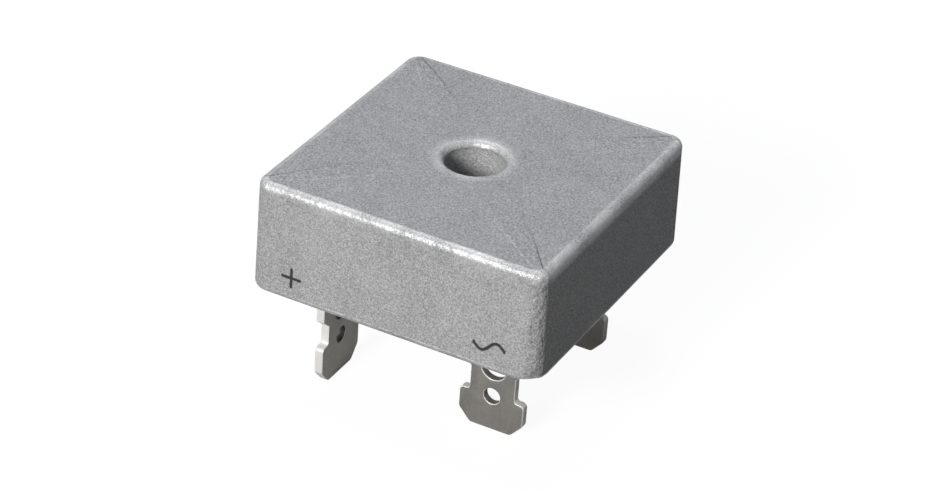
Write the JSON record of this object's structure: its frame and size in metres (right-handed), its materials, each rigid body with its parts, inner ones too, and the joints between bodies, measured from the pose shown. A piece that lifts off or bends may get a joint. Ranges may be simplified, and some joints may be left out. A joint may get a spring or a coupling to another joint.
{
  "type": "bridge rectifier",
  "caption": "Square metal-case bridge rectifier for heat-sink mounting, with a through bore in the middle and notched quick-connect blades standing out of its potted side.",
  "frame": {"origin": "on the bore axis, level with the tips of the blades, which the part stands on", "axes": "+Z along the bore, from the blade tips towards the seat face; the face with the polarity marks is on the -Y side; +X runs along that face from the plus blade to the AC blade"},
  "size_m": [0.0286, 0.0286, 0.0212],
  "materials": {
    "case": "matte, fine blasted grain",
    "potting": "cast epoxy",
    "insulation": "pressed sheet",
    "copper": "bare copper",
    "terminal": "satin nickel plate",
    "silicon": "diced silicon with a glass step",
    "solder": "soft solder"
  },
  "bodies": {
    "root": {"case": "case", "potting": "potting", "insulating_sheet": "insulation", "plus_plate": "copper", "minus_plate": "copper", "ac_strap_front": "copper", "ac_strap_rear": "copper", "plus_terminal": "terminal", "minus_terminal": "terminal", "ac_terminal_front": "terminal", "ac_terminal_rear": "terminal", "plus_foot_solder": "solder", "minus_foot_solder": "solder", "ac_foot_solder_front": "solder", "ac_foot_solder_rear": "solder", "chip_plus_front": "silicon", "chip_plus_rear": "silicon", "chip_minus_front": "silicon", "chip_minus_rear": "silicon", "chip_plus_front_plate_solder": "solder", "chip_plus_rear_plate_solder": "solder", "chip_minus_front_plate_solder": "solder", "chip_minus_rear_plate_solder": "solder", "chip_plus_front_strap_solder": "solder", "chip_plus_rear_strap_solder": "solder", "chip_minus_front_strap_solder": "solder", "chip_minus_rear_strap_solder": "solder"}
  },
  "joints": []
}
